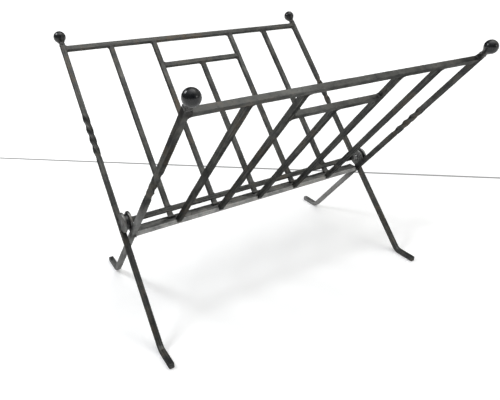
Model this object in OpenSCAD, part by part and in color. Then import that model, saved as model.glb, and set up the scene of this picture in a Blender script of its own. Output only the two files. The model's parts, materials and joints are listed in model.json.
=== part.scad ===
// Folding magazine rack of square iron bar.
// Two open frames cross in an X and turn on two rivets, so the rack folds flat. The back frame is the
// wider one: it leans to the back, and its legs come forward. The front frame stands just inside it.
// Millimetres, +Z up, X along the rack, Y from front to back. The origin is on the floor, below the
// line where the two frames cross.

/* [Frames] */
// Distance between the centres of the back frame's posts
back_span = 400; // [300:1:520]
// Lean of the back frame from upright, in degrees
back_lean = 42.3; // [36:0.1:45]
// Lean of the front frame, which stands a little steeper
front_lean = 41.3; // [36:0.1:45]
// Height of the line where the frames cross
cross_height = 108.9; // [95:0.1:140]
// Side of the square bar
bar = 6.6; // [5:0.05:7.5]
// Clear gap between a back post and the front post beside it
post_gap = 3.15; // [2:0.05:5]

/* [Posts] */
// Height of the posts above the crossing, measured along the post
post_top = 288.5; // [250:0.5:360]
// Start of the twisted stretch, measured along the post from the crossing
twist_start = 110; // [70:1:140]
// Length of the twisted stretch
twist_length = 67; // [40:1:100]
// Turns in the twisted stretch
twist_turns = 1; // [0.5:0.25:2]
// Bend radius above the foot, at the middle of the bar
bend_radius = 14; // [10:0.5:22]
// Length of the foot beyond the bend
foot_length = 26; // [15:0.5:40]
// Chamfer on the corners of the foot's tip
foot_chamfer = 1.3; // [0.5:0.1:2]

/* [Finials] */
// Diameter of the ball on each post
ball_diameter = 16.5; // [12:0.1:20]
// Length of the neck between the post and the ball's widest point
neck_length = 12.5; // [10.5:0.1:16]
// Diameter of the neck at its waist
neck_diameter = 7; // [5:0.1:8]

/* [Rails and bars] */
// Distance from the crossing to the middle of the back frame's top rail, along the frame
top_rail_at = 280.8; // [235:0.1:340]
// How much lower the front frame's top rail sits
front_rail_drop = 1.5; // [0:0.1:4]
// Distance from the back top rail to the short rail under it; the front frame's sits as high
sub_rail_drop = 45.4; // [25:0.1:80]
// Distance from the crossing to the middle of the back frame's lower rail
low_rail_at = 19.7; // [18:0.1:26]
// Depth of the flat floor bar, front to back
floor_bar_depth = 16; // [13:0.1:19]
// Reach of the floor bar in front of the crossing; the rest of its depth is behind
floor_bar_front = 6.35; // [5:0.05:8]
// Thickness of the floor bar
floor_bar_thick = 6.35; // [4:0.05:7]
// Height of the floor bar's underside above the crossing
floor_bar_rise = 0.4; // [0:0.1:1]
// Distance from the crossing to the lower ends of the front bars
front_bar_end = 4; // [3:0.1:5]
// Gap between the pegs and the lower rail, which rests on them when the rack is loaded
stop_gap = 0.3; // [0.2:0.05:0.6]

/* [Hinge] */
// Height of the rivets above the crossing; the round ears grow with it
pivot_rise = 21; // [20:0.1:24]
// How far each round ear would reach past its post's inner face if its edge weren't cut flat there
ear_reach = 2.5; // [1.5:0.1:3.5]
// Thickness of the ears
ear_thick = 3.2; // [2.5:0.1:4]
// Clear gap between the edge of each spacer and the post beside it
spacer_clear = 0.4; // [0.3:0.1:5]
// Shank diameter of the rivets
rivet_diameter = 5; // [4:0.1:6]
// Diameter of the rivet heads
rivet_head = 9; // [7:0.1:10]
// Height of the domed rivet heads
rivet_dome = 2; // [1.5:0.1:2.5]
// Radial clearance of the rivets in the front ears
running_fit = 0.06; // [0.03:0.01:0.1]
// Clearance beside the front ears, and round them in the lower rail's notches
side_gap = 0.3; // [0.2:0.05:0.6]

/* [Hidden] */
$fn = 48;

SIDES = ["left", "right"];
FRAMES = ["back", "front"];
BARS = [1 : 5];
BAR_COUNT = 5;
BEND_FACETS = 16;

IRON = "#4b4b48";
FLOOR_IRON = "#8a8a84";
BALL_BLACK = "#262626";
EAR_GREY = "#6e6e69";
RIVET_GREY = "#8c8c88";

// The front frame nests between the back frame's posts
front_span = back_span - 2 * (bar + post_gap);

// The neck is as wide as the post at its foot. Its waist is just under the ball, and from there it
// flares out to meet the ball at this angle from the ball's lowest point.
neck_root = bar * 0.5;
waist_drop = 2;
neck_join = 56;

low_rail_under = low_rail_at - bar / 2;
floor_bar_top = floor_bar_rise + floor_bar_thick;
ball_at = post_top + neck_length;

// Ears: the back ear stands on the middle of its post, the front ear flush with its post's outer face
ear_radius = min(pivot_off("back"), pivot_off("front")) - bar / 2 + ear_reach;
back_ear_x = back_span / 2;
front_ear_x = front_span / 2 + bar / 2 - ear_thick / 2;
spacer_length = back_ear_x - front_ear_x - ear_thick - side_gap;
countersink = ear_thick * 0.55;
spacer_radius = min(pivot_off("back"), pivot_off("front")) - bar / 2 - spacer_clear;

function span(f) = f == "back" ? back_span : front_span;
function lean(f) = f == "back" ? back_lean : front_lean;

// The hinge axis in a frame's own terms: along the frame, and off its mid-plane towards the V
function pivot_along(f) = pivot_rise * cos(lean(f));
function pivot_off(f) = pivot_rise * sin(lean(f));

// The leg's bend turns it flat on the floor; the foot's middle is half a bar up
function bend_turn(f) = 90 - lean(f);
function bend_sag(f) = bend_radius * (1 - sin(lean(f)));
function bend_at(f) =
    (bar / 2 - cross_height - bend_sag(f) * sin(lean(f))) / cos(lean(f)) + bend_radius * cos(lean(f));

function side_sign(s) = s == "left" ? -1 : 1;
function bar_x(f, i) = span(f) * (i / (BAR_COUNT + 1) - 1 / 2);
function bar_low(f) = f == "back" ? low_rail_at + bar / 2 : front_bar_end;
function rail_at(f) = f == "back" ? top_rail_at : top_rail_at - front_rail_drop;
function sub_rail_at() = top_rail_at - sub_rail_drop;
function bar_high(f, i) = (i == 3 ? sub_rail_at() : rail_at(f)) - bar / 2;
function ear_x(f) = f == "back" ? back_ear_x : front_ear_x;
// The twists run opposite ways on the two sides of the rack. The front frame is laid in as a mirror
// image, which would turn its twists round.
function twist_hand(f, s) = (f == "back") == (s == "left") ? 1 : -1;

// Lays a shape drawn upright, with the V on its -Y side, into the back or the front frame
module in_frame(f) {
    mirror([0, f == "back" ? 0 : 1, 0])
        translate([0, 0, cross_height])
            rotate([-lean(f), 0, 0])
                children();
}

// Square bar along Z between two heights
module upright_bar(low, high) {
    translate([-bar / 2, -bar / 2, low])
        cube([bar, bar, high - low]);
}

// Square bar along X between two ends, centred at a height
module cross_bar(half_length, at) {
    translate([-half_length, -bar / 2, at - bar / 2])
        cube([2 * half_length, bar, bar]);
}

// Point on the bend above the foot, at a radius from its centre and an angle round it
function bend_point(f, r, a) = [r * cos(a) - bend_radius, bend_at(f) + r * sin(a)];
function bend_side(f, r, angles) = [for (a = angles) bend_point(f, r, a)];
function foot_end(f, r) =
    bend_point(f, r, -bend_turn(f)) - foot_length * [cos(lean(f)), sin(lean(f))];

// Leg, bend and foot seen from the end of the rack
module leg_outline(f) {
    inner_r = bend_radius - bar / 2;
    outer_r = bend_radius + bar / 2;
    turn = bend_turn(f);
    bend_step = turn / BEND_FACETS;
    polygon(concat(
        [[bar / 2, twist_start], [-bar / 2, twist_start]],
        bend_side(f, inner_r, [0 : -bend_step : -turn + bend_step / 2]),
        [bend_point(f, inner_r, -turn), foot_end(f, inner_r), foot_end(f, outer_r)],
        bend_side(f, outer_r, [-turn : bend_step : -bend_step / 2]),
        [bend_point(f, outer_r, 0)]
    ));
}

// Wedge that takes one corner off the foot's tip
module foot_corner_cut(f) {
    translate([0, -bend_radius, bend_at(f)])
        rotate([-bend_turn(f), 0, 0])
            translate([bar / 2, bend_radius, -foot_length])
                rotate([90, 0, 0])
                    linear_extrude(height = 2 * bar, center = true)
                        polygon([
                            [-foot_chamfer - 1, -1],
                            [1, foot_chamfer + 1],
                            [1, -1],
                        ]);
}

module leg_and_foot(f) {
    difference() {
        rotate([90, 0, 90])
            linear_extrude(height = bar, center = true)
                leg_outline(f);
        foot_corner_cut(f);
        mirror([1, 0, 0])
            foot_corner_cut(f);
    }
}

module twisted_stretch(f, s) {
    translate([0, 0, twist_start])
        linear_extrude(
            height = twist_length, twist = 360 * twist_turns * twist_hand(f, s), slices = 48, segments = 4
        )
            square(bar, center = true);
}

module post(f, s) {
    color(IRON)
        in_frame(f)
            translate([side_sign(s) * span(f) / 2, 0, 0]) {
                leg_and_foot(f);
                twisted_stretch(f, s);
                upright_bar(twist_start + twist_length, post_top);
            }
}

// A ball on a waisted neck, turned about the post's axis
module finial(f, s) {
    ball_r = ball_diameter / 2;
    waist_r = neck_diameter / 2;
    color(BALL_BLACK)
        in_frame(f)
            translate([side_sign(s) * span(f) / 2, 0, ball_at])
                rotate_extrude()
                    polygon(concat(
                        [[0, -neck_length], [neck_root, -neck_length], [waist_r, -ball_r - waist_drop]],
                        [for (a = [neck_join : 6 : 179]) [ball_r * sin(a), -ball_r * cos(a)]],
                        [[0, ball_r]]
                    ));
}

module top_rail(f) {
    color(IRON)
        in_frame(f)
            cross_bar(span(f) / 2 - bar / 2, rail_at(f));
}

// Short rail between the second and the fourth bar; the middle bar hangs from it
module sub_rail(f) {
    color(IRON)
        in_frame(f)
            cross_bar(bar_x(f, 4) - bar / 2, sub_rail_at());
}

// Lower rail of the back frame, notched where the front frame's round ears turn past it
module back_lower_rail() {
    color(IRON)
        in_frame("back")
            difference() {
                cross_bar(back_span / 2 - bar / 2, low_rail_at);
                for (s = SIDES)
                    at_pivot("back", side_sign(s) * front_ear_x)
                        cylinder(r = ear_radius + side_gap, h = ear_thick + 2 * side_gap, center = true);
            }
}

module floor_bar_solid() {
    half = front_span / 2 - bar / 2;
    translate([-half, -floor_bar_front, cross_height + floor_bar_rise])
        cube([2 * half, floor_bar_depth, floor_bar_thick]);
}

// Flat bar that the magazines stand on, between the front frame's posts
module floor_bar() {
    color(FLOOR_IRON)
        floor_bar_solid();
}

// The front bars are coped over the floor bar's front edge
module frame_bar(f, i) {
    color(IRON)
        difference() {
            in_frame(f)
                translate([bar_x(f, i), 0, 0])
                    upright_bar(bar_low(f), bar_high(f, i));
            if (f == "front") floor_bar_solid();
        }
}

// Peg on the floor bar, in line with a back bar: the back frame's lower rail rests on it
module rest_peg(i) {
    peg_room = 3 * bar;
    color(IRON)
        intersection() {
            in_frame("back")
                translate([bar_x("back", i), 0, 0])
                    upright_bar(0, low_rail_under - stop_gap);
            translate([-back_span / 2, -peg_room, cross_height + floor_bar_top])
                cube([back_span, 2 * peg_room, peg_room]);
        }
}

// Puts a shape drawn about Z on the hinge axis, pointing along +X, at a place along the rack
module at_pivot(f, x) {
    translate([x, -pivot_off(f), pivot_along(f)])
        rotate([0, 90, 0])
            children();
}

// Round ear with a flat side against its post. The back ear is countersunk on its outer face.
module ear(f, s) {
    hole_r = rivet_diameter / 2 + (f == "back" ? 0 : running_fit);
    color(EAR_GREY)
        in_frame(f)
            difference() {
                at_pivot(f, side_sign(s) * ear_x(f))
                    cylinder(r = ear_radius, h = ear_thick, center = true, $fn = 96);
                translate([-back_span, -bar / 2, -back_span / 2])
                    cube([2 * back_span, back_span, back_span]);
                at_pivot(f, side_sign(s) * ear_x(f))
                    cylinder(r = hole_r, h = 2 * ear_thick, center = true);
                if (f == "back") at_pivot(f, side_sign(s) * ear_x(f)) countersink_cone(s);
            }
}

// Cone of the countersunk rivet head, wide end on the outer face
module countersink_cone(s) {
    mirror([0, 0, s == "left" ? 1 : 0])
        translate([0, 0, ear_thick / 2 - countersink])
            cylinder(r1 = rivet_diameter / 2, r2 = rivet_head / 2 - 0.5, h = countersink);
}

// Rivet: flush countersunk head in the back ear, shank through both ears, domed head inside
module rivet(s) {
    shank_r = rivet_diameter / 2;
    head_r = rivet_head / 2;
    outer = back_ear_x + ear_thick / 2;
    inner = front_ear_x - ear_thick / 2 - side_gap;
    dome_r = (head_r * head_r + rivet_dome * rivet_dome) / (2 * rivet_dome);
    dome_angle = asin(head_r / dome_r);
    color(RIVET_GREY)
        in_frame("back")
            mirror([s == "left" ? 1 : 0, 0, 0])
                at_pivot("back", 0)
                    rotate_extrude()
                        polygon(concat(
                            [[0, outer], [head_r - 0.5, outer], [shank_r, outer - countersink]],
                            [[shank_r, inner], [head_r, inner]],
                            [for (k = [7 : -1 : 0])
                                [dome_r * sin(dome_angle * k / 8),
                                 inner - rivet_dome + dome_r * (1 - cos(dome_angle * k / 8))]]
                        ));
}

// Thick black washer on the rivet that keeps the two ears apart
module spacer(s) {
    middle = back_ear_x - ear_thick / 2 - spacer_length / 2;
    color(BALL_BLACK)
        in_frame("back")
            at_pivot("back", side_sign(s) * middle)
                difference() {
                    cylinder(r = spacer_radius, h = spacer_length, center = true);
                    cylinder(d = rivet_diameter, h = spacer_length + 2, center = true);
                }
}

for (f = FRAMES, s = SIDES) {
    post(f, s);
    finial(f, s);
    ear(f, s);
}
for (f = FRAMES) {
    top_rail(f);
    sub_rail(f);
}
for (f = FRAMES, i = BARS)
    frame_bar(f, i);
for (i = BARS)
    rest_peg(i);
for (s = SIDES) {
    rivet(s);
    spacer(s);
}
back_lower_rail();
floor_bar();
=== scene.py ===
"""Folding magazine rack of square forged iron bar: pieces, finishes, floor, lights and camera."""
import json
import bpy
import numpy as np
from mathutils import Matrix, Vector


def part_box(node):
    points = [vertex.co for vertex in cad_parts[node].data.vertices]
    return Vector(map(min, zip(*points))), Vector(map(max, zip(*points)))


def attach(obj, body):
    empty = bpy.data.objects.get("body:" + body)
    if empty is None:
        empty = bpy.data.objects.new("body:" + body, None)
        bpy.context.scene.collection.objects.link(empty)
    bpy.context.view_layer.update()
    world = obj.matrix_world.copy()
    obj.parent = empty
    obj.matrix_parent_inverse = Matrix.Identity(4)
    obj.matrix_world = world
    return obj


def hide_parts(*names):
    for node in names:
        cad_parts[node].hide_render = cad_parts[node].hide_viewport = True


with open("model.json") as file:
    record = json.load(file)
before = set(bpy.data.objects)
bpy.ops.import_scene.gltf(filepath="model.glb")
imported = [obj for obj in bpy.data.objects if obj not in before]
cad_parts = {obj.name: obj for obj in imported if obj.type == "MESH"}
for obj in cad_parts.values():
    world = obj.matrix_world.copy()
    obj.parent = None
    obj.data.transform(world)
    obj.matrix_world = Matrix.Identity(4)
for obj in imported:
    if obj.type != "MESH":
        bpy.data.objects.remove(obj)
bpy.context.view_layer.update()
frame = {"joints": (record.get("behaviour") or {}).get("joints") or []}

MM = 0.001
SIDES = {"left": -1, "right": 1}
BODY = {"back": "back_frame", "front": "front_frame"}
X, Y, Z = np.eye(3)


# ---------------------------------------------------------------- where the two frames stand

def corners(node):
    """Lowest and highest corner of a CAD node, as arrays."""
    low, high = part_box(node)
    return np.array(low), np.array(high)


def middle(node):
    """Centre of a CAD node's box."""
    low, high = corners(node)
    return (low + high) / 2


BAR = float(np.ptp([c[0] for c in corners("back_bar_1")]))  # side of the square bar
HALF = BAR / 2
SOFT = 0.40 * MM  # rounding of the bar's edges
TIP = 0.7 * MM  # rounding of a free end
PAD = 1.3 * MM  # how far a weld runs over the piece it joins
PROUD = 0.22 * MM  # how far a weld stands above the faces
SUNK = 0.3 * MM  # how far a weld's far edge drops below them, past the joint
BEND_RADIUS = 14 * MM  # of the legs, at the middle of the bar
FOOT_TIP = 1.1 * MM  # rounding of a foot's tip
TWIST_FROM, TWIST_TO = 110 * MM, 177 * MM  # along the post, from where the frames cross
NECK_RISE = 12.5 * MM  # from the top of a post to the middle of its ball
NECK_WAIST = 3.5 * MM  # radius of a neck where it is thinnest
BALL_JOIN = np.radians(56)  # where a neck meets its ball, from the ball's lowest point
SHANK, BORE = 2.5 * MM, 2.56 * MM  # radii of the rivets' shanks and of the bores round them
FRONT_BAR_END = 4.0 * MM  # where the front uprights start, above the line where the frames cross
PAINTED_LIGHT_TOP, PAINTED_LIGHT_FADE = {"left": 105 * MM, "right": 5 * MM}, 50 * MM  # painted light: the front posts are painted paler below this, far higher on the left post, lit more from the left
RAIL_PALER = 0.16  # how much paler the front rails are painted
FLOOR_GLOW = 0.60
SKY = 1.2
FLOOR_LINE_AT = (-0.2795, 0.6806, 0)  # a point on the thin grey line across the floor
FLOOR_LINE_ALONG = (0.8667, -0.7003)  # the way that line runs


class Leaf:
    """One leaning frame. Its places are (x, along, inward): along runs up the frame from the line where
    the frames cross, and inward points out of the frame into the V."""

    def __init__(self, name):
        top, sub = middle(name + "_top_rail"), middle(name + "_sub_rail")
        self.name = name
        self.along = (top - sub) / np.linalg.norm(top - sub)
        self.inward = np.array([0.0, -np.sign(self.along[1]) * self.along[2], abs(self.along[1])])
        self.cross = top - self.along * (top[1] / self.along[1])
        self.cross[0] = 0.0
        self.top_at = self.at(top)[0]
        self.sub_at = self.at(sub)[0]
        self.post_x = abs(middle(name + "_left_post")[0])
        finials = [corners(f"{name}_{side}_finial") for side in SIDES]
        far = max(max(abs(low[1]), abs(high[1])) for low, high in finials)
        ball = (finials[0][1][0] - finials[0][0][0]) / 2
        self.ball_at = (far - ball) / abs(self.along[1])
        self.post_top = self.ball_at - NECK_RISE

    def at(self, point):
        """How far along and how far inward a point lies."""
        return (point - self.cross) @ self.along, (point - self.cross) @ self.inward

    def place(self, x, along, inward=0.0):
        """Points from their x, along and inward, as rows."""
        x, along, inward = np.broadcast_arrays(x, along, inward)
        return self.cross + x[..., None] * X + along[..., None] * self.along + inward[..., None] * self.inward

    def low_end(self, node):
        """Where a square upright starts: its box's underside is the lowest corner of its slanted end."""
        low, _ = corners(node)
        return (low[2] - self.cross[2] + HALF * self.inward[2]) / self.along[2]


LEAF = {name: Leaf(name) for name in BODY}
PIVOT = np.array(frame["joints"][0]["pos_m"])
HINGE = np.array([0.0, PIVOT[1], PIVOT[2]])  # the middle of the line through both rivets


# ---------------------------------------------------------------- meshes

def unit(v):
    """Vectors shortened or drawn out to a length of one."""
    return v / np.linalg.norm(v, axis=-1, keepdims=True)


def wander(t, seed, reach=1.0):
    """Smooth uneven line: a sum of seven sines of t whose lengths and starts come from the seed."""
    waves = 7
    rng = np.random.default_rng(seed)
    lengths = rng.uniform(0.006, 0.09, waves)
    starts = rng.uniform(0, 2 * np.pi, waves)
    t = np.asarray(t)[..., None]
    return reach * np.sin(2 * np.pi * t / lengths + starts).sum(-1) / waves ** 0.5


def grid_mesh(name, rings, uv, shade, close_ends=True):
    """Skin over closed rings of points: rings is (rows, round, 3), each row a loop that closes on itself,
    and neighbouring rows are joined by four-sided faces. The two end loops are filled. uv is
    (rows, round + 1, 2), and shade holds point attributes, each (rows, round)."""
    rows, around = rings.shape[:2]
    r, k = np.meshgrid(np.arange(rows - 1), np.arange(around), indexing="ij")
    nxt = (k + 1) % around
    quads = np.stack([r * around + k, r * around + nxt, (r + 1) * around + nxt, (r + 1) * around + k], -1)
    quads = quads.reshape(-1, 4)
    faces = quads.tolist()
    corner_uv = np.stack([uv[r, k], uv[r, k + 1], uv[r + 1, k + 1], uv[r + 1, k]], 2).reshape(-1, 2)
    if close_ends:
        faces += [np.arange(around)[::-1].tolist(), (np.arange(around) + (rows - 1) * around).tolist()]
        corner_uv = np.concatenate([corner_uv, uv[0, :-1][::-1], uv[-1, :-1]])
    mesh = bpy.data.meshes.new(name)
    mesh.from_pydata(rings.reshape(-1, 3), [], faces)
    layer = mesh.uv_layers.new(name="UVMap")
    layer.data.foreach_set("uv", np.ascontiguousarray(corner_uv, dtype=np.float32).ravel())
    for key, values in shade.items():
        a = mesh.attributes.new(key, "FLOAT", "POINT")
        a.data.foreach_set("value", np.ascontiguousarray(values, dtype=np.float32).ravel())
    mesh.polygons.foreach_set("use_smooth", np.ones(len(mesh.polygons), bool))
    mesh.update()
    obj = bpy.data.objects.new(name, mesh)
    bpy.context.scene.collection.objects.link(obj)
    return obj


def faces_in(rings):
    """True where the loops run the way that makes the skin face inwards, so they need turning round. The
    sign of the volume under the skin tells."""
    a, b = rings[:-1], rings[1:]
    c, d = np.roll(a, -1, 1), np.roll(b, -1, 1)
    volume = (np.cross(a, c) * d).sum() + (np.cross(a, d) * b).sum()
    return volume < 0


CORNER_STEPS = 5
CORNERS = [(1, 1), (-1, 1), (-1, -1), (1, -1)]


def bar_skin(name, spine, u, v, reach, radius, turn=0.0, weld=0.0, seed=0):
    """Square bar carried along a path. spine is the path, u and v the unit directions across it at each
    station. reach is (stations, 4): how far the section goes to +u, -u, +v and -v. radius rounds its
    corners. turn twists the section about the path. Each side has two extra points beside its
    corners, so the flats stay flat in the light."""
    n = len(spine)
    reach = np.broadcast_to(reach, (n, 4))
    radius = np.broadcast_to(radius, (n,))
    turn = np.broadcast_to(turn, (n,))
    loops, rims = [], []
    for q, (su, sv) in enumerate(CORNERS):
        ru = reach[:, 0] if su > 0 else reach[:, 1]
        rv = reach[:, 2] if sv > 0 else reach[:, 3]
        angle = np.radians(90 * q + np.linspace(0, 90, CORNER_STEPS))
        a = su * (ru - radius)[:, None] + radius[:, None] * np.cos(angle)
        b = sv * (rv - radius)[:, None] + radius[:, None] * np.sin(angle)
        in_a, out_a = a[:, :1], a[:, -1:]
        in_b, out_b = b[:, :1], b[:, -1:]
        slide = 0.7 * radius[:, None]
        lead = (0, -sv) if q % 2 == 0 else (-su, 0)
        trail = (-su, 0) if q % 2 == 0 else (0, -sv)
        a = np.concatenate([in_a + lead[0] * slide, a, out_a + trail[0] * slide], 1)
        b = np.concatenate([in_b + lead[1] * slide, b, out_b + trail[1] * slide], 1)
        loops.append(np.stack([a, b], -1))
        # edge mark, strongest on each rounded corner, where the iron finish paints a highlight
        bump = np.sin(np.linspace(0, np.pi, CORNER_STEPS))
        rims.append(np.concatenate([[0.0], 0.35 + 0.65 * bump, [0.0]]))
    section = np.concatenate(loops, 1)
    edge = np.broadcast_to(np.concatenate(rims), section.shape[:2])
    c, s = np.cos(turn)[:, None], np.sin(turn)[:, None]
    a = section[..., 0] * c - section[..., 1] * s
    b = section[..., 0] * s + section[..., 1] * c
    rings = spine[:, None] + a[..., None] * u[:, None] + b[..., None] * v[:, None]
    steps = np.linalg.norm(np.diff(spine, axis=0), axis=1)
    far = np.concatenate([[0.0], np.cumsum(steps)])
    typical = section[n // 2]
    lap = np.linalg.norm(np.roll(typical, -1, 0) - typical, axis=1)
    lap = np.concatenate([[0.0], np.cumsum(lap)])
    far, lap = np.meshgrid(far + 0.37 * (seed % 17), lap, indexing="ij")
    uv = np.stack([far, lap + 0.031 * (seed % 11)], -1)
    weld = np.broadcast_to(np.asarray(weld, float), (n,))[:, None] * np.ones(rings.shape[1])
    if faces_in(rings):
        rings, uv = rings[:, ::-1], uv[:, ::-1]
        edge, weld = edge[:, ::-1], weld[:, ::-1]
    return grid_mesh(name, rings, uv, {"edge": edge, "weld": weld})


def stations(length, ends, pitch=2.5 * MM):
    """Places along a bar: close together in the welds at its ends, even between them. A weld runs a
    quarter circle down to the bar, so its stations are even in angle; PAD more lie past the joint."""
    quarter = np.radians(np.linspace(0, 90, 9))
    places = []
    if ends[0]:
        places += [-PAD * np.cos(quarter)[:-1], ends[0] * (1 - np.cos(quarter))]
    else:
        places += [TIP * (1 - np.cos(quarter))]
    if ends[1]:
        places += [length + PAD * np.cos(quarter)[:-1], length - ends[1] * (1 - np.cos(quarter))]
    else:
        places += [length - TIP * (1 - np.cos(quarter))]
    start = (ends[0] or TIP) + pitch / 2
    stop = length - (ends[1] or TIP) - pitch / 2
    places.append(np.linspace(start, stop, max(2, int((stop - start) / pitch))))
    return np.unique(np.round(np.concatenate(places), 7))


def welded_reach(t, length, ends, wide, seed, shy=0.0):
    """Reach of a bar's section at the places t. In a weld, the sides that face along the other piece
    (wide, as indexes) swell by a quarter circle to the weld's radius at the joint, uneven from side to
    side; the other two swell by PROUD. Past the joint everything closes as a quarter ellipse. A free
    end is rounded by a quarter circle. Elsewhere the bar wanders by a few hundredths of a millimetre."""
    rng = np.random.default_rng(seed + 500)
    reach = np.full((len(t), 4), HALF - shy)
    weld = np.zeros(len(t))
    for side in range(4):
        reach[:, side] += wander(t, seed * 4 + side, 0.045 * MM)
    for k, size in enumerate(ends):
        d = t if k == 0 else length - t  # distance from this end, negative past the joint
        if not size:
            lost = TIP - np.sqrt(np.clip(TIP ** 2 - np.clip(TIP - d, 0, TIP) ** 2, 0, None))
            reach -= lost[:, None]
            continue
        inside = np.clip(size - d, 0, size)
        swell = size - np.sqrt(np.clip(size ** 2 - inside ** 2, 0, None))
        near = np.clip(1 - d / (2.2 * size), 0, 1) ** 2 * (d > -PAD)
        past = np.sqrt(np.clip(1 - (np.clip(-d, 0, PAD) / PAD) ** 2, 0, 1))
        for side in range(4):
            if side in wide:
                uneven = rng.uniform(0.55, 1.0)
                grown = HALF - shy + swell * uneven
                reach[:, side] = np.where(d < 0, grown * (0.8 + 0.2 * past), reach[:, side] + swell * uneven)
            else:
                top = reach[:, side] + (PROUD + shy) * near
                reach[:, side] = np.where(d < 0, HALF - SUNK + (PROUD + SUNK) * past, top)
        weld = np.maximum(weld, np.clip(1.25 - np.abs(d) / (1.5 * size), 0, 1))
    return reach, weld


def straight_bar(name, start, end, u, v, ends, wide, seed, shy=0.0, shape=None):
    """Bar from start to end with a weld of the given radius at each end, or a free end for 0. shape may
    change the reach further, given the places along the bar."""
    length = float(np.linalg.norm(end - start))
    t = stations(length, ends)
    reach, weld = welded_reach(t, length, ends, wide, seed, shy)
    if shape:
        t, reach, weld = shape(t, reach, weld)
    line = start + t[:, None] * unit(end - start)
    radius = np.minimum(SOFT * (1 + 0.25 * wander(t, seed + 90, 0.5)), reach.min(1) * 0.45)
    u, v = np.broadcast_to(u, line.shape), np.broadcast_to(v, line.shape)
    return bar_skin(name, line, u, v, reach, radius, weld=weld, seed=seed)


def revolved(name, centre, axis, heights, radii, weld=0.0, square=0.0, across=X, around=64):
    """Surface of revolution about an axis: the profile's heights and radii turned round it. square (0 to
    1, at each height) draws the circle out to a rounded square, whose radius at an angle is its half
    width over the seventh root of the sum of the angle's cosine and sine, each to the seventh power."""
    axis = unit(np.asarray(axis, float))
    p = unit(across - (across @ axis) * axis)
    q = np.cross(axis, p)
    angle = np.linspace(0, 2 * np.pi, around, endpoint=False)
    c, s = np.cos(angle), np.sin(angle)
    power = 7.0
    boxy = (np.abs(c) ** power + np.abs(s) ** power) ** (-1 / power)
    heights, radii = np.asarray(heights, float), np.asarray(radii, float)
    square = np.broadcast_to(square, heights.shape)
    r = radii[:, None] * (1 + square[:, None] * (boxy - 1))
    rings = (
        centre + heights[:, None, None] * axis
        + r[..., None] * (c[:, None] * p + s[:, None] * q)
    )
    far = np.concatenate([[0.0], np.cumsum(np.hypot(np.diff(heights), np.diff(radii)))])
    lap = np.linspace(0, 2 * np.pi, around + 1) * max(radii)
    far, lap = np.meshgrid(far, lap, indexing="ij")
    uv = np.stack([far, lap], -1)
    edge = np.zeros((len(heights), around))
    weld = np.broadcast_to(weld, heights.shape)[:, None] + edge
    if faces_in(rings):
        rings, uv, weld = rings[:, ::-1], uv[:, ::-1], weld[:, ::-1]
    return grid_mesh(name, rings, uv, {"edge": edge, "weld": weld})


# ---------------------------------------------------------------- finishes

class Nodes:
    """A node tree with a few short ways to add to it."""

    def __init__(self, tree):
        self.tree = tree
        self.tree.nodes.clear()
        self.coords = self.add("ShaderNodeTexCoord")

    def add(self, kind, **settings):
        """A new node with its settings."""
        node = self.tree.nodes.new(kind)
        for key, value in settings.items():
            setattr(node, key, value)
        return node

    def join(self, a, b):
        """Links an output to an input."""
        self.tree.links.new(a, b)

    def give(self, socket, value):
        """Sets an input to a constant, or links an output to it."""
        if isinstance(value, bpy.types.NodeSocket):
            self.join(value, socket)
        else:
            socket.default_value = value

    def ramp(self, source, *stops):
        """Colour ramp through (position, colour) stops; a single number stands for a grey."""
        node = self.add("ShaderNodeValToRGB")
        self.join(source, node.inputs["Fac"])
        band = node.color_ramp
        while len(band.elements) < len(stops):
            band.elements.new(0.5)
        for element, (position, colour) in zip(band.elements, stops):
            element.position = position
            element.color = (*([colour] * 3 if np.isscalar(colour) else colour), 1)
        return node.outputs["Color"]

    def blend(self, amount, a, b, mode="MIX"):
        """Two colours mixed by an amount."""
        node = self.add("ShaderNodeMix", data_type="RGBA", blend_type=mode)
        self.give(node.inputs["Factor"], amount)
        for socket, value in ((node.inputs[6], a), (node.inputs[7], b)):
            self.give(socket, (*value, 1) if isinstance(value, tuple) else value)
        return node.outputs[2]

    def sum(self, operation, a, b):
        """One step of arithmetic on two values."""
        node = self.add("ShaderNodeMath", operation=operation)
        self.give(node.inputs[0], a)
        self.give(node.inputs[1], b)
        return node.outputs[0]


class Finish(Nodes):
    """A material with one Principled shader."""

    def __init__(self, name):
        self.material = bpy.data.materials.new(name)
        self.material.use_nodes = True
        super().__init__(self.material.node_tree)
        self.shader = self.add("ShaderNodeBsdfPrincipled")
        out = self.add("ShaderNodeOutputMaterial")
        self.join(self.shader.outputs["BSDF"], out.inputs["Surface"])

    def noise(self, scale, detail=4.0, rough=0.55, stretch=None, source="Object", warp=0.0):
        """Noise in metres; stretch squeezes it along the coordinates' axes."""
        vector = self.coords.outputs[source]
        if stretch:
            mapping = self.add("ShaderNodeMapping")
            mapping.inputs["Scale"].default_value = stretch
            self.join(vector, mapping.inputs["Vector"])
            vector = mapping.outputs["Vector"]
        node = self.add("ShaderNodeTexNoise")
        self.join(vector, node.inputs["Vector"])
        node.inputs["Scale"].default_value = scale
        node.inputs["Detail"].default_value = detail
        node.inputs["Roughness"].default_value = rough
        node.inputs["Distortion"].default_value = warp
        return node.outputs["Fac"]

    def attribute(self, name):
        """A mark kept at the piece's points; 0 where a piece hasn't got it."""
        return self.add("ShaderNodeAttribute", attribute_name=name).outputs["Fac"]

    def bump(self, height, distance, strength, after=None):
        """Fine relief from a height, laid over the relief before it."""
        node = self.add("ShaderNodeBump")
        node.inputs["Strength"].default_value = strength
        node.inputs["Distance"].default_value = distance
        self.join(height, node.inputs["Height"])
        if after:
            self.join(after, node.inputs["Normal"])
        return node.outputs["Normal"]


PIT_BLACK = (0.02, 0.019, 0.017)
# grey mixed into the iron where the paler mark is set; on the front posts' lower stretch that is painted
# light
PALER_GREY = (0.27, 0.27, 0.265)
WELD_BLACK = (0.045, 0.043, 0.042)


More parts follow.
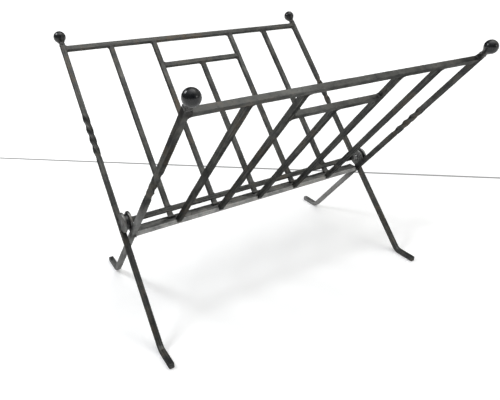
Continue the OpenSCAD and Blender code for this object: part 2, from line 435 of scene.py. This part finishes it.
def iron(name, dark, mid, light, rust, rough=(0.36, 0.58), streak=0.5, pits=1.0):
    """Bar iron as it left the fire: mill scale in dark and lighter patches, drawn lines along the bar,
    pinholes in the scale, brown bloom here and there, corners lightened in patches as a painted highlight
    along the edges as well as wear from rubbing, stretches painted a paler grey where marked (painted light
    on the front posts' lower stretch), and blackened glossy welds. Its shine is held down where light only
    grazes it."""
    f = Finish(name)
    patches = f.noise(75.0, 5.0, 0.6, warp=0.4)
    broad = f.noise(9.0, 3.0, 0.5)
    lines = f.noise(1.0, 5.0, 0.6, stretch=(22.0, 620.0, 1.0), source="UV", warp=0.1)
    grain = f.noise(950.0, 3.0, 0.65)
    spots = f.noise(330.0, 2.0, 0.5)
    edge, weld = f.attribute("edge"), f.attribute("weld")
    scale_colour = f.ramp(patches, (0.32, dark), (0.52, mid), (0.72, light))
    drawn = f.ramp(lines, (0.32, 0.45), (0.50, 0.95), (0.66, 1.80))
    colour = f.blend(streak, scale_colour, drawn, "MULTIPLY")
    bloom = f.ramp(f.sum("MULTIPLY", broad, patches), (0.27, 0.0), (0.40, 1.0))
    colour = f.blend(f.sum("MULTIPLY", bloom, 0.55), colour, rust)
    pit = f.ramp(spots, (0.60, 0.0), (0.70, 1.0))
    colour = f.blend(f.sum("MULTIPLY", pit, 0.45), colour, PIT_BLACK)
    # painted highlight: the rounded corners are lightened in patches, standing in for highlights along the
    # edges, with some wear from rubbing; they are also made glossier
    edge_wear_and_highlight = f.sum("MULTIPLY", edge, f.ramp(grain, (0.50, 0.0), (0.66, 0.40)))
    colour = f.blend(edge_wear_and_highlight, colour, tuple(min(1.0, 1.7 * c) for c in light))
    # paler grey where marked: painted light on the front posts' lower stretch, more on the left; a paler tone
    # on the front rails
    paler_mix = f.sum("MULTIPLY", f.attribute("paler_mark"), f.ramp(patches, (0.35, 0.55), (0.60, 1.0)))
    colour = f.blend(paler_mix, colour, PALER_GREY)
    burnt = f.sum("MULTIPLY", weld, f.ramp(f.noise(260.0, 3.0), (0.35, 0.35), (0.62, 0.9)))
    colour = f.blend(burnt, colour, WELD_BLACK)
    f.join(colour, f.shader.inputs["Base Color"])
    f.shader.inputs["Metallic"].default_value = 1.0
    f.shader.inputs["Specular Tint"].default_value = (0.35, 0.35, 0.35, 1)
    sheen = f.ramp(f.sum("ADD", f.sum("MULTIPLY", lines, 0.5), f.sum("MULTIPLY", patches, 0.5)),
                   (0.35, rough[0]), (0.65, rough[1]))
    sheen = f.blend(f.sum("MULTIPLY", burnt, 0.7), sheen, (0.24, 0.24, 0.24))
    sheen = f.blend(edge_wear_and_highlight, sheen, (0.30, 0.30, 0.30))
    f.join(sheen, f.shader.inputs["Roughness"])
    relief = f.bump(patches, 0.00020, 0.5)
    relief = f.bump(lines, 0.00006, 0.55, relief)
    relief = f.bump(grain, 0.00004, 0.5 * pits, relief)
    relief = f.bump(f.ramp(spots, (0.55, 1.0), (0.75, 0.0)), 0.00008, 0.5 * pits, relief)
    bead = f.noise(420.0, 2.0, 0.5)
    relief = f.bump(f.sum("MULTIPLY", bead, weld), 0.00035, 0.8, relief)
    f.join(relief, f.shader.inputs["Normal"])
    return f.material


def black_ball(name):
    """Black lacquer: deep gloss with a faint ripple and dull specks of dust. Where the weld mark is set,
    on the necks, it gives way to dark iron."""
    f = Finish(name)
    broad = f.noise(120.0, 3.0, 0.5)
    fine = f.noise(1400.0, 3.0, 0.6)
    weld = f.attribute("weld")
    colour = f.ramp(broad, (0.35, (0.006, 0.007, 0.008)), (0.65, (0.016, 0.017, 0.017)))
    iron_neck = f.ramp(f.noise(500.0, 4.0, 0.6),
                       (0.35, (0.030, 0.030, 0.031)), (0.65, (0.085, 0.083, 0.078)))
    colour = f.blend(weld, colour, iron_neck)
    f.join(colour, f.shader.inputs["Base Color"])
    f.join(f.sum("MULTIPLY", weld, 0.9), f.shader.inputs["Metallic"])
    gloss = f.ramp(fine, (0.40, 0.22), (0.62, 0.28), (0.74, 0.36))
    gloss = f.blend(weld, gloss, (0.42, 0.42, 0.42))
    f.join(gloss, f.shader.inputs["Roughness"])
    f.shader.inputs["Specular IOR Level"].default_value = 0.42
    relief = f.bump(broad, 0.00018, 0.5)
    relief = f.bump(fine, 0.00002, 0.4, relief)
    relief = f.bump(f.sum("MULTIPLY", f.noise(520.0, 2.0), weld), 0.0003, 0.7, relief)
    f.join(relief, f.shader.inputs["Normal"])
    return f.material


BAR_IRON = iron("bar_iron", (0.050, 0.051, 0.052), (0.076, 0.077, 0.073), (0.112, 0.110, 0.102),
                (0.100, 0.076, 0.054), streak=0.8)
FLOOR_IRON = iron("floor_bar_iron", (0.16, 0.16, 0.157), (0.29, 0.29, 0.28), (0.46, 0.46, 0.44),
                  (0.18, 0.15, 0.12), rough=(0.34, 0.60), streak=0.35, pits=1.5)
EAR_IRON = iron("ear_iron", (0.13, 0.13, 0.128), (0.19, 0.19, 0.185), (0.26, 0.26, 0.25),
                (0.16, 0.14, 0.12), rough=(0.42, 0.62), streak=0.12, pits=1.3)
RIVET_IRON = iron("rivet_iron", (0.16, 0.16, 0.158), (0.27, 0.27, 0.265), (0.42, 0.42, 0.41),
                  (0.18, 0.16, 0.14), rough=(0.24, 0.42), streak=0.2, pits=0.7)
BALL_BLACK = black_ball("ball_black")


def finish_piece(obj, material, body, slot, *nodes):
    """Gives a piece its material and body, and lets it stand for its CAD nodes."""
    obj.data.materials.append(material)
    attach(obj, body)
    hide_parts(*nodes)


# ---------------------------------------------------------------- the pieces

def mark_paler(obj, amount):
    """Marks how far a bar is painted a paler grey, one amount for each of its rings of points."""
    values = np.repeat(amount, len(obj.data.vertices) // len(amount))
    mark = obj.data.attributes.new("paler_mark", "FLOAT", "POINT")
    mark.data.foreach_set("value", values.astype(np.float32))


def upright(leaf, i):
    """One of a frame's upright bars, from its lower rail or the floor bar up to its top or sub rail."""
    node = f"{leaf.name}_bar_{i}"
    x = middle(node)[0]
    top = (leaf.sub_at if i == 3 else leaf.top_at) - HALF
    if leaf.name == "back":
        low, ends = leaf.low_end(node), (2.6 * MM, 3.0 * MM)
    else:
        low, ends = FRONT_BAR_END, (0, 3.0 * MM)
    seed = 10 * i + (100 if leaf.name == "front" else 0)
    start, end = leaf.place(x, low), leaf.place(x, top)
    obj = straight_bar(node + "_iron", start, end, X, leaf.inward, ends, (0, 1), seed, shy=0.05 * MM)
    finish_piece(obj, BAR_IRON, BODY[leaf.name], "iron_bar", node)


def rail(leaf, node, at, seed, weld, shape=None):
    """A rail across a frame, welded at both ends. The front frame's are painted a little paler."""
    low, high = corners(node)
    start, end = leaf.place(low[0], at), leaf.place(high[0], at)
    obj = straight_bar(node + "_iron", start, end, leaf.along, leaf.inward, (weld, weld), (0, 1), seed,
                       shape=shape)
    if leaf.name == "front":
        mark_paler(obj, np.full(len(obj.data.vertices), RAIL_PALER))
    finish_piece(obj, BAR_IRON, BODY[leaf.name], "iron_bar", node)


def post_path(leaf, tip_y):
    """Middle line of a post from its top down its leg, round the bend and along the foot: places
    (along, inward) and how far the section has turned with the bend. The bend is an arc of
    BEND_RADIUS that ends level with the floor, half a bar up."""
    top = leaf.post_top
    lean = np.arctan2(leaf.inward[2], leaf.along[2])
    turn = np.pi / 2 - lean
    sag = BEND_RADIUS * (1 - np.sin(lean))
    bend_at = (HALF - leaf.cross[2] - sag * np.sin(lean)) / np.cos(lean) + BEND_RADIUS * np.cos(lean)
    twist = np.arange(TWIST_TO + 5 * MM, TWIST_FROM - 5 * MM, -0.9 * MM)
    upper = np.arange(top, TWIST_TO + 6 * MM, -3 * MM)
    lower = np.arange(TWIST_FROM - 6 * MM, bend_at + 2 * MM, -3 * MM)
    leg = np.concatenate([upper, twist, lower])
    a = np.linspace(0, turn, 25)
    arc_s = bend_at - BEND_RADIUS * np.sin(a)
    arc_n = BEND_RADIUS * (1 - np.cos(a))
    end = leaf.place(0, arc_s[-1], arc_n[-1])
    foot_length = abs(tip_y - end[1])
    quarter = np.radians(np.linspace(0, 90, 7))[::-1]
    f = np.concatenate([np.linspace(2 * MM, foot_length - 2 * MM, 10),
                        foot_length - FOOT_TIP * (1 - np.sin(np.pi / 2 - quarter))])
    s = np.concatenate([leg, arc_s, arc_s[-1] - f * np.cos(turn)])
    n = np.concatenate([0 * leg, arc_n, arc_n[-1] + f * np.sin(turn)])
    turned = np.concatenate([0 * leg, a, 0 * f + turn])
    to_tip = np.concatenate([0 * leg + 1, 0 * a + 1, foot_length - f])
    return s, n, turned, to_tip


def post(leaf, side):
    """A post with its twisted stretch, leg, bend and foot. The twist eases in and out: its angle is a
    full turn times 3t^2 - 2t^3 mixed with t. The left posts twist one way and the right posts the other;
    inward points the other way about the front frame, so hand changes its sign there. The foot's tip is
    rounded by a quarter circle."""
    node = f"{leaf.name}_{side}_post"
    sign = SIDES[side]
    low, high = corners(node)
    seed = {"back": 300, "front": 340}[leaf.name] + (sign + 1) * 7
    tip_y = low[1] if leaf.name == "back" else high[1]
    s, n, turned, to_tip = post_path(leaf, tip_y)
    t = np.clip((s - TWIST_FROM) / (TWIST_TO - TWIST_FROM), 0, 1)
    eased = 0.72 * t + 0.28 * (3 * t ** 2 - 2 * t ** 3)
    hand = 1 if (leaf.name == "back") == (side == "left") else -1
    twist = hand * 2 * np.pi * eased
    line = leaf.place(sign * leaf.post_x, s, n)
    v = np.cos(turned)[:, None] * leaf.inward + np.sin(turned)[:, None] * leaf.along
    u = np.broadcast_to(X, line.shape)
    reach = np.stack([HALF + wander(s, seed + k, 0.05 * MM) for k in range(4)], 1)
    reach = np.where((turned > 0)[:, None], HALF, reach)
    inside = np.clip(FOOT_TIP - to_tip, 0, FOOT_TIP)
    reach = reach - (FOOT_TIP - np.sqrt(FOOT_TIP ** 2 - inside ** 2))[:, None]
    weld = np.zeros(len(s))
    for place in (leaf.top_at, leaf.post_top):
        weld = np.maximum(weld, np.clip(1 - np.abs(s - place) / (6 * MM), 0, 1) * (turned == 0))
    joint = (19 if leaf.name == "back" else 4) * MM  # where the lower rail or the floor bar meets it
    weld = np.maximum(weld, 0.8 * np.clip(1.2 - np.abs(s - joint) / (11 * MM), 0, 1))
    radius = np.minimum(SOFT, reach.min(1) * 0.45)
    obj = bar_skin(node + "_iron", line, u, v, reach, radius, twist, weld, seed)
    # painted light: the lower stretch of each front post is painted paler, far higher on the left post, lit
    # more from the left
    if leaf.name == "front":
        mark_paler(obj, np.clip((PAINTED_LIGHT_TOP[side] - s) / PAINTED_LIGHT_FADE, 0, 1))
    finish_piece(obj, BAR_IRON, BODY[leaf.name], "iron_bar", node)


def finial(leaf, side):
    """Ball on a waisted neck. Up to the waist the neck goes from the post's square to a circle; from
    there a flare, whose radius grows by a part of t and a part of t squared, meets the ball at BALL_JOIN.
    The ball is a half circle turned round the post's line."""
    node = f"{leaf.name}_{side}_finial"
    sign = SIDES[side]
    low, high = corners(node)
    ball_r = (high[0] - low[0]) / 2
    join_r, join_h = ball_r * np.sin(BALL_JOIN), -ball_r * np.cos(BALL_JOIN)
    over = np.linspace(BALL_JOIN, np.pi - 0.02, 40)  # round the ball, from the neck to its top
    foot_h = leaf.post_top - leaf.ball_at
    waist_h = foot_h + 2.3 * MM
    t = np.linspace(0, 1, 12)
    heights = np.concatenate([
        [foot_h - 2.2 * MM], foot_h - 1.8 * MM + t * (waist_h - foot_h + 1.8 * MM),
        waist_h + (join_h - waist_h) * t[1:-1],
        -ball_r * np.cos(over),
    ])
    root = HALF * 1.05
    flare = NECK_WAIST + (join_r - NECK_WAIST) * (0.75 * t + 0.25 * t ** 2)[1:-1]
    collar = root + 0.35 * MM * np.sin(np.pi * np.clip(t * 1.4, 0, 1)) + (NECK_WAIST - root) * t
    radii = np.concatenate([[HALF * 0.98], collar, flare, ball_r * np.sin(over)])
    square = np.concatenate([[1.0], 1 - t ** 1.5, 0 * flare, 0 * over])
    weld = np.concatenate([[1.0], 0 * t + 1, 1 - t[1:-1] ** 2 * 0.9, 0 * over])
    centre = leaf.place(sign * leaf.post_x, leaf.ball_at)
    obj = revolved(node + "_ball", centre, leaf.along, heights, radii, weld=weld, square=square)
    finish_piece(obj, BALL_BLACK, BODY[leaf.name], "ball_iron", node)


def ear(leaf, side):
    """Round ear round the hinge: a plate whose outline is a circle cut flat against the post. Its
    section runs out from the bore to the outline and back. The rim is rounded by a quarter ellipse,
    and the plate thickens to the post along the flat by a quarter circle, which is its weld."""
    node = f"{leaf.name}_{side}_ear"
    low, high = corners(node)
    thick = high[0] - low[0]
    centre = np.array([(low[0] + high[0]) / 2, PIVOT[1], PIVOT[2]])
    off = leaf.at(centre)[1]
    to_flat = off - HALF
    around, steps = 144, 26
    angle = np.linspace(0, 2 * np.pi, around, endpoint=False)
    c, s = np.cos(angle), np.sin(angle)  # c along the frame, s inward
    limit = np.where(s < -to_flat / EAR_RADIUS, to_flat / np.maximum(-s, 1e-6), EAR_RADIUS)
    limit = np.minimum(limit, EAR_RADIUS) + 0.04 * MM * np.sin(3 * angle + 1) * (limit >= EAR_RADIUS)
    rim = 0.9 * MM
    q = np.linspace(0, 1, steps)
    q = np.concatenate([q[:-1] * 0.86, 1 - 0.14 * (1 - np.sin(np.linspace(0.05, 1, 12) * np.pi / 2))])
    r = BORE + (limit[None] - BORE) * q[:, None]
    depth = limit[None] - r
    inside = np.clip(rim - depth, 0, rim)
    half = thick / 2 * np.sqrt(np.clip(1 - (inside / rim) ** 2 * 0.92, 0, 1))
    fillet = 2.0 * MM
    from_post = r * s + to_flat
    rise = np.clip(fillet - from_post, 0, fillet)
    swell = fillet - np.sqrt(np.clip(fillet ** 2 - rise ** 2, 0, None))
    on_flat = np.clip((fillet * 1.5 - from_post) / (fillet * 1.5), 0, 1)
    half = np.where(from_post < fillet, np.maximum(half, thick / 2 * on_flat ** 0.5), half)
    # A back ear sits at the middle of its post, and a front ear flush with its post's outer face
    spare = HALF - thick / 2
    outer_room, inner_room, share = (spare, spare, 1.0) if leaf.name == "back" else (0.0, BAR - thick, 0.35)
    outer = half + np.minimum(swell, outer_room * 0.9)
    inner = half + np.minimum(swell, inner_room * 0.9) * share
    sign = SIDES[side]

    def sheet(r, h):
        flat = (r * c)[..., None] * leaf.along + (r * s)[..., None] * leaf.inward
        return centre + h[..., None] * (sign * X) + flat

    rings = np.concatenate([sheet(r, outer), sheet(r[::-1], -inner[::-1]), sheet(r[:1], outer[:1])])
    weld = np.concatenate([on_flat, on_flat[::-1], on_flat[:1]])
    # edge mark on the rounded rim, where the iron finish paints a highlight
    edge = np.concatenate([inside / rim, inside[::-1] / rim, 0 * inside[:1]]) * 0.8
    rr = np.concatenate([r, r[::-1], r[:1]])
    wrap = np.concatenate([rr, rr[:, :1]], 1)
    turn = np.concatenate([angle, [2 * np.pi]])
    uv = np.stack([wrap * np.cos(turn), wrap * np.sin(turn)], -1)
    if faces_in(rings):
        rings, uv, edge, weld = rings[:, ::-1], uv[:, ::-1], edge[:, ::-1], weld[:, ::-1]
    obj = grid_mesh(node + "_plate", rings, uv, {"edge": edge, "weld": weld}, close_ends=False)
    finish_piece(obj, EAR_IRON, BODY[leaf.name], "ear_iron", node)


def rivet(side):
    """Rivet turned about the hinge: a nearly flush head outside with a soft edge, a shank, and inside a
    hammered dome, an arc of a circle over its flat seat."""
    node = f"{side}_rivet"
    sign = SIDES[side]
    low, high = corners(node)
    outer, inner = max(abs(low[0]), abs(high[0])), min(abs(low[0]), abs(high[0]))
    head_r = (high[2] - low[2]) / 2
    flush_r = head_r - 0.5 * MM
    seat = inner + 2 * MM
    a = np.linspace(0.03, 1, 14)
    dome_h = seat - (seat - inner) * np.cos(a * np.pi / 2)
    heights = np.concatenate([
        dome_h, [seat], [outer - 1.76 * MM], np.linspace(outer - 1.6 * MM, outer - 0.15 * MM, 4),
        outer + 0.22 * MM * np.sin(np.linspace(0, 1, 8) * np.pi / 2),
    ])
    radii = np.concatenate([
        head_r * np.sin(a * np.pi / 2), [SHANK], [SHANK], np.linspace(SHANK, flush_r, 4),
        flush_r * np.cos(np.linspace(0, 0.985, 8) * np.pi / 2),
    ])
    obj = revolved(node + "_head", HINGE, sign * X, heights, radii, across=Z, around=48)
    finish_piece(obj, RIVET_IRON, BODY["back"], "rivet_iron", node)


def spacer(side):
    """Thick black washer between the ears, its rims rounded by quarter circles, closed on the shank."""
    node = f"{side}_spacer"
    low, high = corners(node)
    outer_r = (high[2] - low[2]) / 2
    a, b = min(abs(low[0]), abs(high[0])), max(abs(low[0]), abs(high[0]))
    q = np.radians(np.linspace(0, 90, 6))
    soft = 0.5 * MM
    heights = np.concatenate([[a], a + soft * (1 - np.cos(q)), np.linspace(a + 2 * soft, b - 2 * soft, 5),
                              b - soft * (1 - np.cos(q))[::-1], [b], [a]])
    radii = np.concatenate([[SHANK], outer_r - soft * (1 - np.sin(q)), np.full(5, outer_r),
                            outer_r - soft * (1 - np.sin(q))[::-1], [SHANK], [SHANK]])
    obj = revolved(node + "_tube", HINGE, SIDES[side] * X, heights, radii, across=Z, around=48)
    finish_piece(obj, BALL_BLACK, BODY["back"], "ball_iron", node)


def floor_bar():
    """Flat bar that the magazines stand on, rounded along its edges and welded to the front posts."""
    low, high = corners("floor_bar")
    mid = (low + high) / 2
    depth, thick = (high - low)[1] / 2, (high - low)[2] / 2

    def flat(t, reach, weld):
        """Draws the square section out to the flat bar's."""
        reach = reach + np.array([depth, depth, thick, thick]) - HALF
        return t, reach, weld

    start, end = np.array([low[0], mid[1], mid[2]]), np.array([high[0], mid[1], mid[2]])
    obj = straight_bar("floor_bar_flat", start, end, Y, Z, (2.2 * MM, 2.2 * MM), (3,), 77, shape=flat)
    finish_piece(obj, FLOOR_IRON, BODY["front"], "floor_iron", "floor_bar")


def rest_peg(i):
    """Stub of bar on the floor bar that stops the back frame, with a spread weld round its foot."""
    node = f"rest_peg_{i}"
    leaf = LEAF["back"]
    low, high = corners(node)
    x = (low[0] + high[0]) / 2
    top = (high[2] - leaf.cross[2] - HALF * leaf.inward[2]) / leaf.along[2]
    foot = (low[2] - leaf.cross[2]) / leaf.along[2]
    length = top - foot
    t = np.concatenate([np.linspace(-2.5 * MM, length - 1.0 * MM, 22),
                        length - 0.5 * MM * (1 - np.sin(np.radians(np.linspace(0, 90, 6))))])
    size = 3.4 * MM
    inside = np.clip(size - t, 0, size)
    swell = size - np.sqrt(np.clip(size ** 2 - inside ** 2, 0, None))
    swell = np.where(t < 0, size * (1 + t / (6 * MM)), swell)
    rng = np.random.default_rng(900 + i)
    uneven = rng.uniform(0.6, 1.0, 4) * np.array([1, 1, 0.25, 0.25])
    soft = 0.5 * MM
    near_top = np.clip(soft - (length - t), 0, soft)
    reach = HALF - 0.05 * MM + swell[:, None] * uneven - (soft - np.sqrt(soft ** 2 - near_top ** 2))[:, None]
    line = leaf.place(x, foot + t)
    weld = np.clip(1.1 - t / (5 * MM), 0, 1)
    u, v = np.broadcast_to(X, line.shape), np.broadcast_to(leaf.inward, line.shape)
    obj = bar_skin(node + "_iron", line, u, v, reach, 0.7 * MM, weld=weld, seed=i + 40)
    finish_piece(obj, BAR_IRON, BODY["front"], "iron_bar", node)


def notched(t, reach, weld):
    """Flattens the lower rail's V side where the front ears turn, from the post to the notch's end."""
    length = t[-1] + t[0]
    gap = NOTCH_LENGTH
    step = np.array([gap, gap + 0.15 * MM, length - gap - 0.15 * MM, length - gap])
    every = np.unique(np.concatenate([t, step]))
    reach = np.stack([np.interp(every, t, reach[:, k]) for k in range(4)], 1)
    weld = np.interp(every, t, weld)
    cut = (every <= gap + 1e-9) | (every >= length - gap - 1e-9)
    reach[:, 2] = np.where(cut, np.minimum(reach[:, 2], NOTCH_KEEP), reach[:, 2])
    return every, reach, weld


EAR_RADIUS = corners("back_left_ear")[1][2] - PIVOT[2]
low_rail_at = LEAF["back"].at(middle("back_lower_rail"))[0]
front_ear_x = min(abs(c[0]) for c in corners("front_left_ear"))
NOTCH_LENGTH = corners("back_lower_rail")[1][0] - front_ear_x + 0.45 * MM
ear_off = LEAF["back"].at(PIVOT)
reach_s = np.clip(ear_off[0], low_rail_at - HALF, low_rail_at + HALF) - ear_off[0]
NOTCH_KEEP = ear_off[1] - np.sqrt((EAR_RADIUS + 0.32 * MM) ** 2 - reach_s ** 2)

for leaf in LEAF.values():
    for i in range(1, 6):
        upright(leaf, i)
    rail(leaf, leaf.name + "_top_rail", leaf.top_at, 200 if leaf.name == "back" else 210, 3.2 * MM)
    rail(leaf, leaf.name + "_sub_rail", leaf.sub_at, 220 if leaf.name == "back" else 230, 3.0 * MM)
    for side in SIDES:
        post(leaf, side)
        finial(leaf, side)
        ear(leaf, side)
rail(LEAF["back"], "back_lower_rail", low_rail_at, 240, 2.0 * MM, notched)
floor_bar()
for i in range(1, 6):
    rest_peg(i)
for side in SIDES:
    rivet(side)
    spacer(side)


# ---------------------------------------------------------------- floor, lights and camera

def studio_floor():
    """Broad pale floor that glows a little, so it stays near white under soft shadows. A thin grey line
    crosses it behind the rack."""
    mesh = bpy.data.meshes.new("studio_floor")
    size = 12.0
    sheet = [(-size, -size, 0), (size, -size, 0), (size, size, 0), (-size, size, 0)]
    mesh.from_pydata(sheet, [], [(0, 1, 2, 3)])
    floor = bpy.data.objects.new("studio_floor", mesh)
    bpy.context.scene.collection.objects.link(floor)
    f = Finish("studio_white")
    turned = f.add("ShaderNodeMapping", vector_type="TEXTURE")
    turned.inputs["Location"].default_value = FLOOR_LINE_AT
    turned.inputs["Rotation"].default_value = (0, 0, np.arctan2(FLOOR_LINE_ALONG[1], FLOOR_LINE_ALONG[0]))
    f.join(f.coords.outputs["Object"], turned.inputs["Vector"])
    parts = f.add("ShaderNodeSeparateXYZ")
    f.join(turned.outputs["Vector"], parts.inputs["Vector"])
    off = f.sum("ABSOLUTE", parts.outputs["Y"], 0.0)
    line = f.ramp(f.sum("MULTIPLY", off, 100.0), (0.0, 0.25), (0.25, 0.30), (0.45, 1.0))
    distance = f.add("ShaderNodeVectorMath", operation="LENGTH")
    f.join(f.coords.outputs["Object"], distance.inputs[0])
    # painted light: the floor's glow is weaker near the rack and grows farther out, keeping the far floor
    # white while shadows show near the rack
    glow = f.ramp(f.sum("MULTIPLY", distance.outputs["Value"], 0.5), (0.12, 0.45), (0.60, 1.0))
    f.join(f.blend(1.0, line, (0.86, 0.86, 0.855), "MULTIPLY"), f.shader.inputs["Base Color"])
    f.shader.inputs["Roughness"].default_value = 0.9
    f.shader.inputs["Specular IOR Level"].default_value = 0.1
    f.shader.inputs["Emission Strength"].default_value = FLOOR_GLOW
    f.join(f.blend(1.0, line, glow, "MULTIPLY"), f.shader.inputs["Emission Color"])
    floor.data.materials.append(f.material)


def soft_light(name, place, aim, size, power, colour=(1, 1, 1)):
    """Square soft light at a place, aimed at a point."""
    lamp = bpy.data.lights.new(name, "AREA")
    lamp.shape, lamp.size, lamp.energy, lamp.color = "SQUARE", size, power, colour
    obj = bpy.data.objects.new(name, lamp)
    away = unit(np.array(place, float) - np.array(aim, float))
    side = unit(np.cross(Z, away) + 1e-9 * X)  # X stands in where the light is straight overhead
    rows = np.stack([side, np.cross(away, side), away], 1)
    m = Matrix.Identity(4)
    for r in range(3):
        m[r][0], m[r][1], m[r][2], m[r][3] = *rows[r], place[r]
    obj.matrix_world = m
    bpy.context.scene.collection.objects.link(obj)


def studio_sky():
    """Surroundings, from the direction alone: brighter to the right, a little to the front and high
    overhead, dark to the left, behind and near the level. The camera itself sees an even white."""
    world = bpy.data.worlds.new("studio")
    bpy.context.scene.world = world
    world.use_nodes = True
    n = Nodes(world.node_tree)
    parts = n.add("ShaderNodeSeparateXYZ")
    n.join(n.coords.outputs["Generated"], parts.inputs["Vector"])
    # The direction's parts run from -1 to 1, and the ramps take them from 0 to 1
    spread = {}
    for axis in "XYZ":
        spread[axis] = n.sum("ADD", n.sum("MULTIPLY", parts.outputs[axis], 0.5), 0.5)
    across = n.ramp(spread["X"], (0.10, (0.22, 0.23, 0.25)), (0.58, (0.44, 0.44, 0.45)),
                    (0.76, (1.15, 1.15, 1.11)))
    depth = n.ramp(spread["Y"], (0.08, (0.25, 0.25, 0.26)), (0.27, 1.0), (0.52, 1.0), (0.88, 0.15))
    over = n.ramp(spread["Z"], (0.50, 0.25), (0.70, 0.40), (0.87, 0.75), (0.94, 2.4))
    lit, seen = n.add("ShaderNodeBackground"), n.add("ShaderNodeBackground")
    n.join(n.blend(1.0, n.blend(1.0, across, depth, "MULTIPLY"), over, "MULTIPLY"), lit.inputs["Color"])
    lit.inputs["Strength"].default_value = SKY
    seen.inputs["Color"].default_value = (1, 1, 1, 1)
    seen.inputs["Strength"].default_value = 1.01
    path, choose = n.add("ShaderNodeLightPath"), n.add("ShaderNodeMixShader")
    out = n.add("ShaderNodeOutputWorld")
    n.join(path.outputs["Is Camera Ray"], choose.inputs["Fac"])
    n.join(lit.outputs["Background"], choose.inputs[1])
    n.join(seen.outputs["Background"], choose.inputs[2])
    n.join(choose.outputs["Shader"], out.inputs["Surface"])


studio_floor()
studio_sky()
soft_light("left_window", (-0.78, 0.48, 1.10), (0, 0, 0.15), 0.32, 6.5, (0.96, 0.98, 1.0))
soft_light("right_window", (0.95, -1.65, 0.80), (0, 0, 0.2), 0.40, 3.2, (1.0, 0.99, 0.96))
soft_light("overhead", (0.10, 0.05, 1.9), (0, 0, 0), 1.1, 5.0)

camera = bpy.data.cameras.new("camera")
camera.sensor_width, camera.lens = 36.0, 35.7325
camera.shift_x, camera.shift_y = 0.01587, -0.07265
camera.clip_start, camera.clip_end = 0.02, 50.0
eye = bpy.data.objects.new("camera", camera)
# Its columns are the camera's right, its up, the way back from the rack, and its place
eye.matrix_world = Matrix((
    (0.85293, 0.21592, -0.47529, -0.351672),
    (-0.52185, 0.32872, -0.78716, -0.540905),
    (-0.01373, 0.91942, 0.39305, 0.439150),
    (0, 0, 0, 1),
))
bpy.context.scene.collection.objects.link(eye)
bpy.context.scene.camera = eye
bpy.context.scene.view_settings.view_transform = "Standard"
